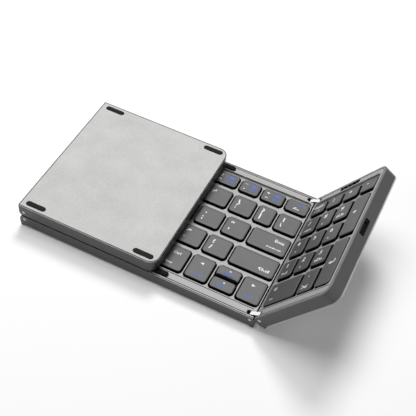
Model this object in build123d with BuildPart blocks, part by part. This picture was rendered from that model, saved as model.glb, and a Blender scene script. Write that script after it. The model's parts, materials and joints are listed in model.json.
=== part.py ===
from build123d import *
import math
import os

# Folding keyboard: a middle panel that lies on the desk, a left panel folded over it with its keys
# down, and a narrow number panel on the right that stands half open. Link plates with a pin in
# either panel join them, near and far, so that a panel can fold flat on the middle one.
# Millimetres. X runs along the keyboard, Y towards the back, Z up. The origin is on the desk, under
# the middle of the whole keyboard as it stands here.

# Panels
PANEL_DEPTH = 99.0
LEFT_WIDTH = 88.6
RIGHT_WIDTH = 60.8
FLAP_CLEARANCE = 0.6
MIDDLE_WIDTH = LEFT_WIDTH + RIGHT_WIDTH + FLAP_CLEARANCE
FREE_CORNER_RADIUS = 6.0
LEFT_UNDER_RADIUS = 0.0
MIDDLE_UNDER_RADIUS = 2.6
RIGHT_UNDER_RADIUS = 3.4

# Heights inside a panel, from its underside up to its key side
PLATE_THICKNESS = 0.8
FLOOR_THICKNESS = 0.7
BATTERY_THICKNESS = 1.7
BATTERY_AIR = 0.2
BOARD_THICKNESS = 0.8
SHEET_THICKNESS = 0.2
PRESSED_AIR = 0.4
KEY_TRAVEL = 1.2
KEY_HEIGHT = 2.1
KEY_DROP = 0.1
FLOOR_TOP = PLATE_THICKNESS + FLOOR_THICKNESS
BOARD_SEAT = FLOOR_TOP + BATTERY_THICKNESS + BATTERY_AIR
BOARD_TOP = BOARD_SEAT + BOARD_THICKNESS
KEY_BOTTOM = BOARD_TOP + SHEET_THICKNESS + PRESSED_AIR + KEY_TRAVEL
PANEL_HEIGHT = KEY_BOTTOM + KEY_HEIGHT + KEY_DROP

# Key deck: a frame with a well, whose floor is a web round the keys
WELL_DEPTH = 1.6
WEB_THICKNESS = 1.0
DECK_THICKNESS = WELL_DEPTH + WEB_THICKNESS
DECK_BOTTOM = PANEL_HEIGHT - DECK_THICKNESS
WEB_TOP = PANEL_HEIGHT - WELL_DEPTH
RIM_THICKNESS = 0.75
DECK_CLEARANCE = 0.05
WELL_FRONT = 6.9
WELL_BACK = 5.6
FREE_BAR = 3.5
WELL_RADIUS = 2.4

# Casing walls
LEDGE_WIDTH = 2.2
LOWER_WALL = 4.2
END_WALL = 5.2
PLATE_CLEARANCE = 0.05
BOARD_CLEARANCE = 0.15
POCKET_CORNER_CUT = (2 - math.sqrt(2)) * (FREE_CORNER_RADIUS - LEDGE_WIDTH)

# Link hinges
PIN_DEPTH = 2.4
FOLDED_GAP = 1.4
UNFOLDED_GAP = 0.4
LINK_PITCH = 2 * PIN_DEPTH + FOLDED_GAP
PIN_INSET = (LINK_PITCH - UNFOLDED_GAP) / 2
PIN_RADIUS = 1.0
PIN_RUNNING_CLEARANCE = 0.05
PIN_SEAT_CLEARANCE = 0.02
PIN_RECESS = 0.1
LINK_RADIUS = 2.3
LINK_THICKNESS = 2.4
LINK_SIDE_CLEARANCE = 0.25
LINK_END_CLEARANCE = 0.25
LINK_INSET = 3.25
LINK_TILT = 28.0
RIGHT_TILT = 56.0
FOLDED_TILT = 180.0
KNUCKLE_WALL = 0.6
KNUCKLE_ROOF = 1.0
KNUCKLE_COVER = 0.2
SLOT_WIDTH = LINK_THICKNESS + 2 * LINK_SIDE_CLEARANCE
SLOT_REACH = LINK_RADIUS + LINK_END_CLEARANCE + SLOT_WIDTH / 4
SLOT_HEIGHT = PIN_DEPTH + LINK_RADIUS + LINK_END_CLEARANCE
SLOT_FLOOR = PANEL_HEIGHT - SLOT_HEIGHT
PIN_REACH = LINK_INSET + LINK_THICKNESS / 2
KNUCKLE_DEPTH = LINK_INSET + SLOT_WIDTH / 2 + KNUCKLE_WALL
KNUCKLE_LENGTH = PIN_INSET + SLOT_REACH + KNUCKLE_WALL
KNUCKLE_TOP = PANEL_HEIGHT - KNUCKLE_ROOF

# Keys: lengths and depths are those of the key tops
FRONT_MARGIN = 8.6
BACK_MARGIN = 7.6
ROW_GAP = 3.6
TOP_ROW_DEPTH = 9.8
FRONT_ROW_DEPTH = 16.6
KEY_SPACING = 1.9
HINGE_MARGIN = 2.1
FREE_MARGIN = 4.8
KEY_DRAFT = 0.12
KEY_RADIUS = 1.9
CORNER_FLAT_COUNT = 2
HOLE_FLAT_COUNT = 1
PILL_END_FLAT = 0.3
KEY_SIDE_CLEARANCE = 0.3
KEY_FRONT_CLEARANCE = 0.75
ARROW_SPLIT = 1.0
HOLE_RADIUS = 1.6
LETTER_ROW_DEPTH = (PANEL_DEPTH - FRONT_MARGIN - BACK_MARGIN - TOP_ROW_DEPTH - FRONT_ROW_DEPTH
                    - 4 * ROW_GAP) / 3
ROW_DEPTHS = (TOP_ROW_DEPTH, LETTER_ROW_DEPTH, LETTER_ROW_DEPTH, LETTER_ROW_DEPTH, FRONT_ROW_DEPTH)
HINGE_BAR = HINGE_MARGIN - KEY_DRAFT - KEY_SIDE_CLEARANCE

# A row of keys: fixed lengths at its left, how many equal keys, fixed lengths at its right
ESCAPE_KEYS = ((), 5, ())
TAB_KEYS = ((14.6,), 4, ())
CAPS_KEYS = ((17.0,), 4, ())
SHIFT_KEYS = ((24.0,), 3, ())
CONTROL_KEYS = ((12.6, 12.6, 12.6, 12.6), 1, ())
LEFT_ROWS = (ESCAPE_KEYS, TAB_KEYS, CAPS_KEYS, SHIFT_KEYS, CONTROL_KEYS)
DIGIT_KEYS = ((), 6, (12.6, 14.2, 14.1))
BRACKET_KEYS = ((), 6, (14.3, 11.2, 14.4))
ENTER_KEYS = ((), 6, (14.7, 24.0))
SLASH_KEYS = ((), 6, (15.0, 27.5))
ARROW_KEYS = ((), 1, (14.5, 14.5, 13.8, 14.4, 14.0))
MIDDLE_ROWS = (DIGIT_KEYS, BRACKET_KEYS, ENTER_KEYS, SLASH_KEYS, ARROW_KEYS)
NUMBER_COLUMNS = ((), 4, ())

# Trim
FOOT_LENGTH = 12.2
FOOT_WIDTH = 2.9
FOOT_RADIUS = 1.0
FOOT_FLAT_COUNT = 1
FOOT_PROUD = 0.4
FOOT_CLEARANCE = 0.3
FOOT_END_INSET = 9.5
FOOT_SIDE_INSET = 3.7
BUMPER_LENGTH = 13.2
BUMPER_WIDTH = 3.0
BUMPER_SIDE_INSET = 3.5
BUMPER_RECESS = 1.0
BUMPER_AIR = 0.2
BUMPER_CLEARANCE = 0.1
WINDOW_LENGTH = 16.2
WINDOW_WIDTH = 3.1
WINDOW_THICKNESS = 1.2
WINDOW_DROP = 0.05
WINDOW_CLEARANCE = 0.05
WINDOW_SIDE_INSET = 3.2
WINDOW_FROM_HINGE = 30.8

# Electronics
SOCKET_WIDTH = 9.0
SOCKET_HEIGHT = 3.0
SOCKET_SETBACK = 0.3
SOCKET_WALL = 0.3
SOCKET_CLEARANCE = 0.05
SOCKET_BACKING = 0.5
SOCKET_DEPTH = FREE_BAR - SOCKET_SETBACK - SOCKET_CLEARANCE - SOCKET_BACKING
SOCKET_LEVEL = 5.3
SOCKET_FRAME_WIDTH = 12.0
SOCKET_FRAME_HEIGHT = 3.3
SOCKET_FRAME_RADIUS = 0.6
TONGUE_WIDTH = 6.4
TONGUE_THICKNESS = 0.7
TONGUE_SETBACK = 0.5
BATTERY_LENGTH = 72.0
BATTERY_DEPTH = 46.0
CONTROLLER_LENGTH = 32.0
CONTROLLER_DEPTH = 26.0
CONTROLLER_THICKNESS = 0.8
CHIP_LENGTH = 7.0
CHIP_SPACING = 12.0
CHIP_THICKNESS = 0.7

LEFT_END, RIGHT_END = -1, 1
FRONT, BACK = -1, 1
BOTH_ENDS = (LEFT_END, RIGHT_END)
BOTH_SIDES = (FRONT, BACK)


class Panel:
    """One panel: its width, its hinged ends and the plane that it is modelled on.

    The plane's X runs along the panel from its middle, its Z from its underside to its key side.
    """

    def __init__(self, width, hinged_ends, under_radius):
        self.width = width
        self.hinged_ends = hinged_ends
        self.under_radius = under_radius
        self.plane = Plane.XY

    def end(self, side):
        return side * self.width / 2

    def inset(self, side, at_free_end, at_hinge):
        """X at the given distance inside an end."""
        return self.end(side) - side * (at_hinge if side in self.hinged_ends else at_free_end)

    def pin(self, side):
        """X and Z of a hinge end's pin."""
        return self.end(side) - side * PIN_INSET, PANEL_HEIGHT - PIN_DEPTH

    def point(self, x, y, z):
        plane = self.plane
        return plane.origin + plane.x_dir * x + plane.y_dir * y + plane.z_dir * z

    def hang(self, side, pin_point, along):
        """Stands the panel with its pin at pin_point and its X along the given direction."""
        up = along.cross(Vector(0, 1, 0))
        x, z = self.pin(side)
        self.plane = Plane(pin_point - along * x - up * z, x_dir=along, z_dir=up)

    def front_view(self, y):
        """A plane across the panel, seen from the front: its X along, its Z up."""
        return Plane(self.point(0, y, 0), x_dir=self.plane.x_dir, z_dir=-self.plane.y_dir)

    def end_view(self, side):
        """A plane on an end face, seen from outside: its Y along, its Z up."""
        along = self.plane.y_dir * side
        return Plane(self.point(self.end(side), 0, 0), x_dir=along, z_dir=self.plane.x_dir * side)


def direction(degrees):
    """A level direction turned up from +X by the given angle."""
    angle = math.radians(degrees)
    return Vector(math.cos(angle), 0, math.sin(angle))


def stand_panels():
    """The left, middle and right panel where they stand, the whole keyboard about X = 0."""
    left = Panel(LEFT_WIDTH, (RIGHT_END,), LEFT_UNDER_RADIUS)
    middle = Panel(MIDDLE_WIDTH, (LEFT_END, RIGHT_END), MIDDLE_UNDER_RADIUS)
    right = Panel(RIGHT_WIDTH, (LEFT_END,), RIGHT_UNDER_RADIUS)

    # The number panel's lower free edge reaches furthest right
    free_edge = Vector(RIGHT_WIDTH - PIN_INSET, 0, PIN_DEPTH - PANEL_HEIGHT)
    reach = free_edge.rotate(Axis.Y, -RIGHT_TILT) + direction(LINK_TILT) * LINK_PITCH
    right_reach = middle.pin(RIGHT_END)[0] + reach.X
    middle_x = -(middle.end(LEFT_END) + right_reach) / 2
    middle.plane = Plane((middle_x, 0, FOOT_PROUD), x_dir=(1, 0, 0), z_dir=(0, 0, 1))

    left_pin = hinge_point(middle, LEFT_END, FOLDED_TILT / 2)
    left.hang(RIGHT_END, left_pin, direction(FOLDED_TILT))
    right_pin = hinge_point(middle, RIGHT_END, LINK_TILT)
    right.hang(LEFT_END, right_pin, direction(RIGHT_TILT))
    return left, middle, right


def hinge_point(middle, side, link_tilt):
    """Where a flap's pin is, with its links tilted up from the middle panel by link_tilt."""
    x, z = middle.pin(side)
    return middle.point(x, 0, z) + direction(link_tilt) * LINK_PITCH


# ---------------------------------------------------------------- shared outlines
def plan(panel, inset, past_hinge):
    """Draws a panel's plan: drawn in by inset, but past_hinge beyond its hinge ends."""
    low = panel.inset(LEFT_END, inset, -past_hinge)
    high = panel.inset(RIGHT_END, inset, -past_hinge)
    with Locations(((low + high) / 2, 0)):
        Rectangle(high - low, PANEL_DEPTH - 2 * inset)
    for end in BOTH_ENDS:
        if end not in panel.hinged_ends:
            fillet(furthest(vertices(), end), FREE_CORNER_RADIUS - inset)


def furthest(corners, end):
    """Those of a sketch's corners that lie furthest towards an end."""
    return corners.group_by(Axis.X)[0 if end == LEFT_END else -1]


def hollow(panel, side_wall, free_wall, hinge_wall):
    """Draws a hollow inside a panel's walls that leaves the knuckle blocks standing."""
    low = panel.inset(LEFT_END, free_wall, hinge_wall)
    high = panel.inset(RIGHT_END, free_wall, hinge_wall)
    with Locations(((low + high) / 2, 0)):
        Rectangle(high - low, PANEL_DEPTH - 2 * side_wall)
    cut_free_corners(panel)
    knuckles(panel, 0, Mode.SUBTRACT)


def cut_free_corners(panel):
    """Cuts an outline's free corners, so that it follows the casing's round ones."""
    for end in BOTH_ENDS:
        if end not in panel.hinged_ends:
            chamfer(furthest(vertices(), end), POCKET_CORNER_CUT)


def knuckles(panel, clearance, mode):
    """Draws the solid blocks that hold the pins, one in each hinge corner."""
    for end in panel.hinged_ends:
        x = panel.end(end) - end * KNUCKLE_LENGTH / 2
        y = (PANEL_DEPTH - KNUCKLE_DEPTH) / 2
        with Locations((x, -y), (x, y)):
            Rectangle(KNUCKLE_LENGTH + 2 * clearance, KNUCKLE_DEPTH + 2 * clearance, mode=mode)


def section(panel):
    """The panel's outline from the front: hinge ends are round about their pins.

    Free ends run on, because the plan shapes those.
    """
    shoulder = math.sqrt(PIN_INSET**2 - PIN_DEPTH**2)
    sweep = math.degrees(math.asin(PIN_DEPTH / PIN_INSET))
    with BuildSketch(panel.front_view(0)) as outline:
        with BuildLine():
            tops, sides = [], []
            for end in BOTH_ENDS:
                x, z = panel.pin(end)
                if end in panel.hinged_ends:
                    CenterArc((x, z), PIN_INSET, 90 - 90 * end, end * sweep)
                    tops.append((x + end * shoulder, PANEL_HEIGHT))
                    sides.append((panel.end(end), z))
                else:
                    tops.append((panel.end(end) + end * FREE_CORNER_RADIUS, PANEL_HEIGHT))
                    sides.append(tops[-1])
            Line(*tops)
            Polyline(sides[0], (sides[0][0], 0), (sides[1][0], 0), sides[1])
        make_face()
        if panel.under_radius:
            for end in panel.hinged_ends:
                fillet(furthest(vertices().group_by(Axis.Y)[0], end), panel.under_radius)
    return outline.sketch


def link_slots(panel):
    """Draws the slots that the links sweep, round inside and open past each hinge end."""
    length = SLOT_REACH + PIN_INSET + SLOT_WIDTH
    for end in panel.hinged_ends:
        x = panel.pin(end)[0] + end * (length / 2 - SLOT_REACH)
        y = PANEL_DEPTH / 2 - LINK_INSET
        with Locations((x, -y), (x, y)):
            pill(length, SLOT_WIDTH)


def rounded(length, depth, radius, flat_count):
    """Draws a rectangle whose corners are rounded in a few flats, because so many repeat."""
    points = []
    for x_side, y_side, start in ((1, 1, 0), (-1, 1, 90), (-1, -1, 180), (1, -1, 270)):
        for i in range(flat_count + 1):
            angle = math.radians(start + 90 * i / flat_count)
            points.append((x_side * (length / 2 - radius) + radius * math.cos(angle),
                           y_side * (depth / 2 - radius) + radius * math.sin(angle)))
    Polygon(*points, align=None)


def pill(length, width):
    """Draws a long outline with round ends, in flats."""
    rounded(length, width, (width - PILL_END_FLAT) / 2, CORNER_FLAT_COUNT)


def foot_outlines(panel, clearance):
    """Draws the four feet, in from the ends of the flat underside."""
    inset = FOOT_END_INSET + panel.under_radius
    ends = [panel.inset(end, FOOT_END_INSET, inset) for end in BOTH_ENDS]
    places = [(x, side * (PANEL_DEPTH / 2 - FOOT_SIDE_INSET)) for x in ends for side in BOTH_SIDES]
    with Locations(*places):
        rounded(FOOT_LENGTH + 2 * clearance, FOOT_WIDTH + 2 * clearance, FOOT_RADIUS + clearance,
                FOOT_FLAT_COUNT)


def bumper_places(middle):
    """Middles of the two pads under the seam where the folded flaps meet."""
    x = middle.end(LEFT_END) + LEFT_WIDTH + FLAP_CLEARANCE / 2
    return [(x, side * (PANEL_DEPTH / 2 - BUMPER_SIDE_INSET)) for side in BOTH_SIDES]


def window_place(right):
    return right.end(LEFT_END) + WINDOW_FROM_HINGE, PANEL_DEPTH / 2 - WINDOW_SIDE_INSET


# ---------------------------------------------------------------- key layout
def key_row(panel, before, equal, after):
    """Middle and length of each key top in a row that fills the panel from end to end."""
    low = panel.inset(LEFT_END, FREE_MARGIN, HINGE_MARGIN)
    high = panel.inset(RIGHT_END, FREE_MARGIN, HINGE_MARGIN)
    count = len(before) + equal + len(after)
    rest = high - low - sum(before) - sum(after) - (count - 1) * KEY_SPACING
    keys = []
    for length in (*before, *[rest / equal] * equal, *after):
        keys.append((low + length / 2, length))
        low += length + KEY_SPACING
    return keys


def row_span(first, last):
    """Middle and depth of the key tops from row first to row last; row 0 is at the back."""
    back = PANEL_DEPTH / 2 - BACK_MARGIN - sum(ROW_DEPTHS[:first]) - first * ROW_GAP
    depth = sum(ROW_DEPTHS[first:last + 1]) + (last - first) * ROW_GAP
    return back - depth / 2, depth


def key_at(column, first, last):
    """A key top as (x, y, length, depth)."""
    y, depth = row_span(first, last)
    return column[0], y, column[1], depth


def rows_of_keys(panel, rows):
    return [[key_at(column, i, i) for column in key_row(panel, *row)] for i, row in enumerate(rows)]


def named_rows(name, rows):
    return {f"{name}_row{i + 1}_keys": row for i, row in enumerate(rows)}


def left_keys(left):
    rows = rows_of_keys(left, LEFT_ROWS)
    holes = sum(rows, [])
    single = {"left_space_key": [rows[4].pop()]}
    return {**named_rows("left", rows), **single}, holes


def middle_keys(middle):
    rows = rows_of_keys(middle, MIDDLE_ROWS)
    holes = sum(rows, [])
    x, y, length, depth = rows[4].pop(-2)
    half = (depth - ARROW_SPLIT) / 2
    step = (half + ARROW_SPLIT) / 2
    single = {
        "enter_key": [rows[2].pop()],
        "right_shift_key": [rows[3].pop()],
        "right_space_key": [rows[4].pop(0)],
        "up_arrow_key": [(x, y + step, length, half)],
        "down_arrow_key": [(x, y - step, length, half)],
    }
    return {**named_rows("middle", rows), **single}, holes


def right_keys(right):
    columns = key_row(right, *NUMBER_COLUMNS)
    first, second, third, fourth = columns
    rows = [[key_at(column, 0, 0) for column in columns]]
    rows += [[key_at(column, i, i) for column in columns[:3]] for i in (1, 2, 3)]
    rows.append([key_at(third, 4, 4)])
    two_columns = ((first[0] + second[0]) / 2, first[1] + second[1] + KEY_SPACING)
    single = {
        "number_plus_key": [key_at(fourth, 1, 2)],
        "number_enter_key": [key_at(fourth, 3, 4)],
        "number_zero_key": [key_at(two_columns, 4, 4)],
    }
    holes = sum(rows, []) + sum(single.values(), [])
    return {**named_rows("right", rows), **single}, holes


# ---------------------------------------------------------------- pieces of every panel
def casing(name, panel, socket_end=None):
    """The dark tray: rim, ledges for deck and board, floor, and blocks for the hinge pins."""
    outline = section(panel)
    low = panel.inset(LEFT_END, 0, panel.under_radius)
    high = panel.inset(RIGHT_END, 0, panel.under_radius)
    with BuildPart() as tray:
        with BuildSketch(panel.plane):
            plan(panel, 0, 0)
        extrude(amount=PANEL_HEIGHT)
        with BuildSketch(panel.plane):
            with Locations(((low + high) / 2, 0)):
                Rectangle(high - low + 2 * PLATE_CLEARANCE, PANEL_DEPTH + 2 * PLATE_CLEARANCE)
        extrude(amount=PLATE_THICKNESS, mode=Mode.SUBTRACT)
        with BuildSketch(panel.plane.offset(FLOOR_TOP)):
            hollow(panel, LOWER_WALL, LOWER_WALL, END_WALL)
        extrude(amount=BOARD_SEAT - FLOOR_TOP, mode=Mode.SUBTRACT)
        with BuildSketch(panel.plane.offset(BOARD_SEAT)):
            hollow(panel, LEDGE_WIDTH, LEDGE_WIDTH, HINGE_BAR)
        extrude(amount=DECK_BOTTOM - BOARD_SEAT, mode=Mode.SUBTRACT)
        with BuildSketch(panel.plane.offset(DECK_BOTTOM)):
            plan(panel, RIM_THICKNESS, LEDGE_WIDTH)
            knuckles(panel, 0, Mode.SUBTRACT)
        extrude(amount=KNUCKLE_TOP - DECK_BOTTOM, mode=Mode.SUBTRACT)
        with BuildSketch(panel.plane.offset(KNUCKLE_TOP)):
            plan(panel, RIM_THICKNESS, LEDGE_WIDTH)
        extrude(amount=KNUCKLE_ROOF, mode=Mode.SUBTRACT)
        extrude(outline, amount=PANEL_DEPTH, both=True, mode=Mode.INTERSECT)
        with BuildSketch(panel.plane.offset(SLOT_FLOOR)):
            link_slots(panel)
        extrude(amount=SLOT_HEIGHT, mode=Mode.SUBTRACT)
        for side in BOTH_SIDES:
            with BuildSketch(panel.front_view(side * PANEL_DEPTH / 2)):
                with Locations(*[panel.pin(end) for end in panel.hinged_ends]):
                    Circle(PIN_RADIUS + PIN_SEAT_CLEARANCE)
            extrude(amount=side * PIN_REACH, mode=Mode.SUBTRACT)
        if socket_end:
            with BuildSketch(panel.end_view(socket_end)):
                socket_outline(SOCKET_CLEARANCE)
            extrude(amount=-SOCKET_SETBACK - SOCKET_DEPTH - SOCKET_CLEARANCE, mode=Mode.SUBTRACT)
            with BuildSketch(panel.end_view(socket_end)):
                with Locations((0, SOCKET_LEVEL)):
                    rounded(SOCKET_FRAME_WIDTH, SOCKET_FRAME_HEIGHT, SOCKET_FRAME_RADIUS,
                            HOLE_FLAT_COUNT)
            extrude(amount=-SOCKET_SETBACK, mode=Mode.SUBTRACT)
    save(tray, f"{name}_casing")


def socket_outline(room):
    with Locations((0, SOCKET_LEVEL)):
        pill(SOCKET_WIDTH + 2 * room, SOCKET_HEIGHT + 2 * room)


def key_deck(name, panel, holes, socket_end=None, bumpers=(), windows=()):
    """The light frame and its web, with a hole for every key."""
    outline = section(panel)
    low = panel.inset(LEFT_END, FREE_BAR, HINGE_BAR)
    high = panel.inset(RIGHT_END, FREE_BAR, HINGE_BAR)
    with BuildPart() as deck:
        with BuildSketch(panel.plane.offset(DECK_BOTTOM)):
            plan(panel, RIM_THICKNESS + DECK_CLEARANCE, 0)
        extrude(amount=DECK_THICKNESS)
        with BuildSketch(panel.plane.offset(WEB_TOP)):
            with Locations(((low + high) / 2, (WELL_FRONT - WELL_BACK) / 2)):
                rounded(high - low, PANEL_DEPTH - WELL_FRONT - WELL_BACK, WELL_RADIUS,
                        CORNER_FLAT_COUNT)
            knuckles(panel, DECK_CLEARANCE + KNUCKLE_COVER, Mode.SUBTRACT)
        extrude(amount=WELL_DEPTH, mode=Mode.SUBTRACT)
        with BuildSketch(panel.plane.offset(DECK_BOTTOM)):
            for x, y, length, depth in holes:
                with Locations((x, y)):
                    rounded(length + 2 * (KEY_DRAFT + KEY_SIDE_CLEARANCE),
                            depth + 2 * (KEY_DRAFT + KEY_FRONT_CLEARANCE), HOLE_RADIUS,
                            HOLE_FLAT_COUNT)
        extrude(amount=WEB_THICKNESS, mode=Mode.SUBTRACT)
        with BuildSketch(panel.plane.offset(DECK_BOTTOM)):
            knuckles(panel, DECK_CLEARANCE, Mode.ADD)
        extrude(amount=KNUCKLE_TOP - DECK_BOTTOM, mode=Mode.SUBTRACT)
        extrude(outline, amount=PANEL_DEPTH, both=True, mode=Mode.INTERSECT)
        with BuildSketch(panel.plane.offset(SLOT_FLOOR)):
            link_slots(panel)
        extrude(amount=SLOT_HEIGHT, mode=Mode.SUBTRACT)
        if socket_end:
            with BuildSketch(panel.end_view(socket_end)):
                socket_outline(SOCKET_CLEARANCE)
            extrude(amount=-FREE_BAR + SOCKET_BACKING, mode=Mode.SUBTRACT)
        for places, length, width, recess in (
                (bumpers, BUMPER_LENGTH + 2 * BUMPER_CLEARANCE, BUMPER_WIDTH + 2 * BUMPER_CLEARANCE,
                 BUMPER_RECESS),
                (windows, WINDOW_LENGTH + 2 * WINDOW_CLEARANCE, WINDOW_WIDTH + 2 * WINDOW_CLEARANCE,
                 WINDOW_THICKNESS + WINDOW_DROP)):
            if places:
                with BuildSketch(panel.plane.offset(PANEL_HEIGHT - recess)):
                    with Locations(*places):
                        pill(length, width)
                extrude(amount=recess, mode=Mode.SUBTRACT)
    save(deck, f"{name}_key_deck")


def cover_plate(name, panel):
    """The metal plate under a panel, open round the feet."""
    low = panel.inset(LEFT_END, 0, panel.under_radius)
    high = panel.inset(RIGHT_END, 0, panel.under_radius)
    with BuildPart() as plate:
        with BuildSketch(panel.plane):
            plan(panel, 0, 0)
            with Locations(((low + high) / 2, 0)):
                Rectangle(high - low, PANEL_DEPTH, mode=Mode.INTERSECT)
        extrude(amount=PLATE_THICKNESS)
        with BuildSketch(panel.plane):
            foot_outlines(panel, FOOT_CLEARANCE)
        extrude(amount=PLATE_THICKNESS, mode=Mode.SUBTRACT)
    save(plate, f"{name}_cover_plate")


def feet(name, panel):
    """Rubber pills on the casing's floor, through the plate."""
    with BuildPart() as pills:
        with BuildSketch(panel.plane.offset(-FOOT_PROUD)):
            foot_outlines(panel, 0)
        extrude(amount=FOOT_PROUD + PLATE_THICKNESS)
    save(pills, f"{name}_feet")


def switch_board(name, panel):
    """The board that the keys press on, on the casing's ledge, with its rubber sheet over it."""
    inset = LEDGE_WIDTH + BOARD_CLEARANCE
    free_inset = max(inset, SOCKET_SETBACK + SOCKET_DEPTH + SOCKET_CLEARANCE + BOARD_CLEARANCE)
    low = panel.inset(LEFT_END, free_inset, inset)
    high = panel.inset(RIGHT_END, free_inset, inset)
    with BuildPart() as board:
        with BuildSketch(panel.plane.offset(BOARD_SEAT)):
            board_outline(panel, low, high, inset)
        extrude(amount=BOARD_THICKNESS)
    save(board, f"{name}_switch_board")
    with BuildPart() as sheet:
        with BuildSketch(panel.plane.offset(BOARD_TOP)):
            board_outline(panel, low, high, inset)
        extrude(amount=SHEET_THICKNESS)
    save(sheet, f"{name}_rubber_sheet")


def board_outline(panel, low, high, inset):
    with Locations(((low + high) / 2, 0)):
        Rectangle(high - low, PANEL_DEPTH - 2 * inset)
    cut_free_corners(panel)
    knuckles(panel, BOARD_CLEARANCE, Mode.SUBTRACT)


def key_caps(name, panel, keys):
    """Key tops with drafted sides, a little below the frame's face."""
    with BuildPart() as caps:
        with BuildSketch(panel.plane.offset(KEY_BOTTOM)):
            for x, y, length, depth in keys:
                with Locations((x, y)):
                    rounded(length + 2 * KEY_DRAFT, depth + 2 * KEY_DRAFT, KEY_RADIUS + KEY_DRAFT,
                            CORNER_FLAT_COUNT)
        extrude(amount=KEY_HEIGHT, taper=math.degrees(math.atan2(KEY_DRAFT, KEY_HEIGHT)))
    save(caps, name)


def hinge_pins(name, panel):
    """Pins pressed into the panel's sides, front and back, and on across the link slots."""
    with BuildPart() as pins:
        for side in BOTH_SIDES:
            with BuildSketch(panel.front_view(side * (PANEL_DEPTH / 2 - PIN_RECESS))):
                with Locations(*[panel.pin(end) for end in panel.hinged_ends]):
                    Circle(PIN_RADIUS)
            extrude(amount=side * (PIN_REACH - PIN_RECESS))
    save(pins, f"{name}_hinge_pins")


def link_plates(name, middle, end, tilt):
    """The two plates of one hinge, front and back, each with a bore for either pin."""
    x, z = middle.pin(end)
    for side, place in ((FRONT, "front"), (BACK, "back")):
        centre = middle.point(x, side * (PANEL_DEPTH / 2 - LINK_INSET), z)
        centre += direction(tilt) * LINK_PITCH / 2
        with BuildPart() as plate:
            with BuildSketch(Plane(centre, x_dir=direction(tilt), z_dir=(0, -1, 0))):
                SlotCenterToCenter(LINK_PITCH, 2 * LINK_RADIUS)
                with Locations((-LINK_PITCH / 2, 0), (LINK_PITCH / 2, 0)):
                    Circle(PIN_RADIUS + PIN_RUNNING_CLEARANCE, mode=Mode.SUBTRACT)
            extrude(amount=LINK_THICKNESS / 2, both=True)
        save(plate, f"{name}_link_{place}")


# ---------------------------------------------------------------- pieces of one panel
def bumper_pads(middle):
    """Two rubber pads that the folded flaps come down on."""
    with BuildPart() as pads:
        with BuildSketch(middle.plane.offset(PANEL_HEIGHT - BUMPER_RECESS)):
            with Locations(*bumper_places(middle)):
                pill(BUMPER_LENGTH, BUMPER_WIDTH)
        extrude(amount=BUMPER_RECESS + FOLDED_GAP - BUMPER_AIR)
    save(pads, "bumper_pads")


def battery(middle):
    with BuildPart() as cell:
        with BuildSketch(middle.plane.offset(FLOOR_TOP)):
            Rectangle(BATTERY_LENGTH, BATTERY_DEPTH)
        extrude(amount=BATTERY_THICKNESS)
    save(cell, "battery")


def indicator_window(right):
    with BuildPart() as window:
        with BuildSketch(right.plane.offset(PANEL_HEIGHT - WINDOW_DROP - WINDOW_THICKNESS)):
            with Locations(window_place(right)):
                pill(WINDOW_LENGTH, WINDOW_WIDTH)
        extrude(amount=WINDOW_THICKNESS)
    save(window, "indicator_window")


def charging_socket(right):
    """A metal shell, open to the outside, with a tongue in it."""
    with BuildPart() as socket:
        with BuildSketch(right.end_view(RIGHT_END).offset(-SOCKET_SETBACK)):
            socket_outline(0)
        extrude(amount=-SOCKET_DEPTH)
        with BuildSketch(right.end_view(RIGHT_END).offset(-SOCKET_SETBACK)):
            socket_outline(-SOCKET_WALL)
        extrude(amount=-SOCKET_DEPTH + SOCKET_WALL, mode=Mode.SUBTRACT)
        with BuildSketch(right.end_view(RIGHT_END).offset(-SOCKET_SETBACK - TONGUE_SETBACK)):
            with Locations((0, SOCKET_LEVEL)):
                Rectangle(TONGUE_WIDTH, TONGUE_THICKNESS)
        extrude(amount=-SOCKET_DEPTH + TONGUE_SETBACK + SOCKET_WALL)
    save(socket, "charging_socket")


def controller_board(right):
    """The board with the radio and charging chips, on the number panel's floor."""
    with BuildPart() as board:
        with BuildSketch(right.plane.offset(FLOOR_TOP)):
            Rectangle(CONTROLLER_LENGTH, CONTROLLER_DEPTH)
        extrude(amount=CONTROLLER_THICKNESS)
        with BuildSketch(right.plane.offset(FLOOR_TOP + CONTROLLER_THICKNESS)):
            with Locations((-CHIP_SPACING / 2, 0), (CHIP_SPACING / 2, 0)):
                Rectangle(CHIP_LENGTH, CHIP_LENGTH)
        extrude(amount=CHIP_THICKNESS)
    save(board, "controller_board")


def build():
    os.makedirs("parts", exist_ok=True)
    left, middle, right = stand_panels()
    left_groups, left_holes = left_keys(left)
    middle_groups, middle_holes = middle_keys(middle)
    right_groups, right_holes = right_keys(right)

    key_deck("left", left, left_holes)
    key_deck("middle", middle, middle_holes, bumpers=bumper_places(middle))
    key_deck("right", right, right_holes, socket_end=RIGHT_END, windows=[window_place(right)])
    casing("left", left)
    casing("middle", middle)
    casing("right", right, socket_end=RIGHT_END)
    for name, panel, groups in (("left", left, left_groups), ("middle", middle, middle_groups),
                                ("right", right, right_groups)):
        cover_plate(name, panel)
        feet(name, panel)
        switch_board(name, panel)
        hinge_pins(name, panel)
        for key_name, keys in groups.items():
            key_caps(key_name, panel, keys)
    link_plates("left", middle, LEFT_END, FOLDED_TILT / 2)
    link_plates("right", middle, RIGHT_END, LINK_TILT)
    bumper_pads(middle)
    battery(middle)
    indicator_window(right)
    charging_socket(right)
    controller_board(right)


def save(piece, name):
    piece.part.label = name
    export_step(piece.part, f"parts/{name}.step")


build()
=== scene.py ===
"""Dresses the folding keyboard: materials, key caps with their legends, trim, light and camera."""
import json
import math

import bmesh
import bpy
from mathutils import Matrix, Vector

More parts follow.
